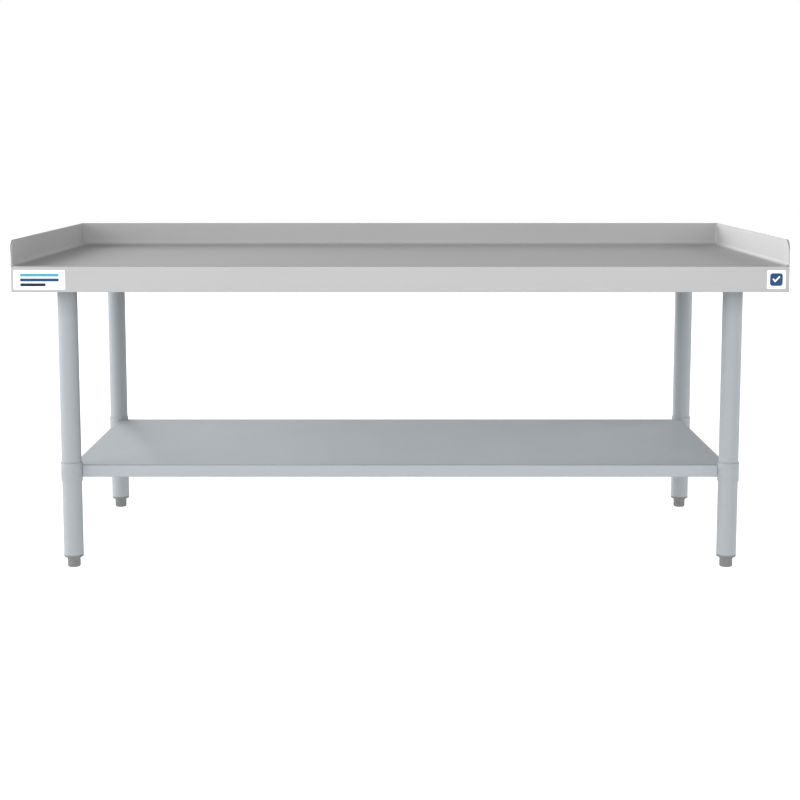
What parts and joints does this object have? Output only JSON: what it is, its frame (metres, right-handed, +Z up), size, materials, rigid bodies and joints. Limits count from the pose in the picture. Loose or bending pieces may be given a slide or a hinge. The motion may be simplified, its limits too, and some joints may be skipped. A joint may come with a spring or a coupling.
{
  "type": "work table",
  "caption": "Low stainless work table with upturned back and side edges, galvanised tube legs, a height-adjustable undershelf and screw feet.",
  "frame": {"origin": "on the floor, under the middle of the worktop", "axes": "+X to the table's right seen from the front, +Y to the back, +Z up"},
  "size_m": [1.524, 0.7623, 0.6728],
  "materials": {
    "stainless": "fine brushed grain along each sheet's length, satin",
    "galvanised": "smooth galvanised sheet with faint spangle, satin",
    "galvanised_tube": "galvanised tube, semi-bright",
    "galvanised_casting": "galvanised, satin",
    "zinc_fastener": "bright zinc plating",
    "grey_plastic": "moulded grey plastic, slightly rough",
    "label_film": "white film with blue printing"
  },
  "bodies": {
    "frame": {"worktop": "stainless", "cross_channel_left": "galvanised", "cross_channel_right": "galvanised", "centre_channel": "galvanised", "channel_weld_studs": "zinc_fastener", "channel_flange_nuts": "zinc_fastener", "leg_socket_screws": "zinc_fastener", "name_label": "label_film", "mark_label": "label_film", "leg_socket_front_left": "galvanised_casting", "leg_front_left": "galvanised_tube", "leg_insert_front_left": "grey_plastic", "leg_socket_front_right": "galvanised_casting", "leg_front_right": "galvanised_tube", "leg_insert_front_right": "grey_plastic", "leg_socket_rear_right": "galvanised_casting", "leg_rear_right": "galvanised_tube", "leg_insert_rear_right": "grey_plastic", "leg_socket_rear_left": "galvanised_casting", "leg_rear_left": "galvanised_tube", "leg_insert_rear_left": "grey_plastic"},
    "shelf": {"undershelf": "galvanised", "shelf_channel": "galvanised", "shelf_collar_screws": "zinc_fastener", "shelf_collar_front_left": "galvanised_casting", "shelf_collar_front_right": "galvanised_casting", "shelf_collar_rear_right": "galvanised_casting", "shelf_collar_rear_left": "galvanised_casting"},
    "spindle_front_left": {"foot_spindle_front_left": "zinc_fastener"},
    "foot_front_left": {"foot_front_left": "grey_plastic"},
    "spindle_front_right": {"foot_spindle_front_right": "zinc_fastener"},
    "foot_front_right": {"foot_front_right": "grey_plastic"},
    "spindle_rear_right": {"foot_spindle_rear_right": "zinc_fastener"},
    "foot_rear_right": {"foot_rear_right": "grey_plastic"},
    "spindle_rear_left": {"foot_spindle_rear_left": "zinc_fastener"},
    "foot_rear_left": {"foot_rear_left": "grey_plastic"}
  },
  "joints": [
    {"name": "shelf_height", "type": "slide", "parent": "frame", "child": "shelf", "axis": [0, 0, 1], "range_m": [-0.14, 0.33]},
    {"name": "foot_lift_front_left", "type": "slide", "parent": "frame", "child": "spindle_front_left", "axis": [0, 0, -1], "range_m": [0, 0.021]},
    {"name": "foot_turn_front_left", "type": "hinge", "parent": "spindle_front_left", "child": "foot_front_left", "pos_m": [-0.669, -0.2915, 0.01], "axis": [0, 0, -1], "range_deg": [0, 4320]},
    {"name": "foot_lift_front_right", "type": "slide", "parent": "frame", "child": "spindle_front_right", "axis": [0, 0, -1], "range_m": [0, 0.021]},
    {"name": "foot_turn_front_right", "type": "hinge", "parent": "spindle_front_right", "child": "foot_front_right", "pos_m": [0.669, -0.2915, 0.01], "axis": [0, 0, -1], "range_deg": [0, 4320]},
    {"name": "foot_lift_rear_right", "type": "slide", "parent": "frame", "child": "spindle_rear_right", "axis": [0, 0, -1], "range_m": [0, 0.021]},
    {"name": "foot_turn_rear_right", "type": "hinge", "parent": "spindle_rear_right", "child": "foot_rear_right", "pos_m": [0.669, 0.2915, 0.01], "axis": [0, 0, -1], "range_deg": [0, 4320]},
    {"name": "foot_lift_rear_left", "type": "slide", "parent": "frame", "child": "spindle_rear_left", "axis": [0, 0, -1], "range_m": [0, 0.021]},
    {"name": "foot_turn_rear_left", "type": "hinge", "parent": "spindle_rear_left", "child": "foot_rear_left", "pos_m": [-0.669, 0.2915, 0.01], "axis": [0, 0, -1], "range_deg": [0, 4320]}
  ],
  "couplings": [
    {"joint": "foot_turn_front_left", "follows": "foot_lift_front_left", "rad_per_m": 3590.4},
    {"joint": "foot_turn_front_right", "follows": "foot_lift_front_right", "rad_per_m": 3590.4},
    {"joint": "foot_turn_rear_right", "follows": "foot_lift_rear_right", "rad_per_m": 3590.4},
    {"joint": "foot_turn_rear_left", "follows": "foot_lift_rear_left", "rad_per_m": 3590.4}
  ]
}
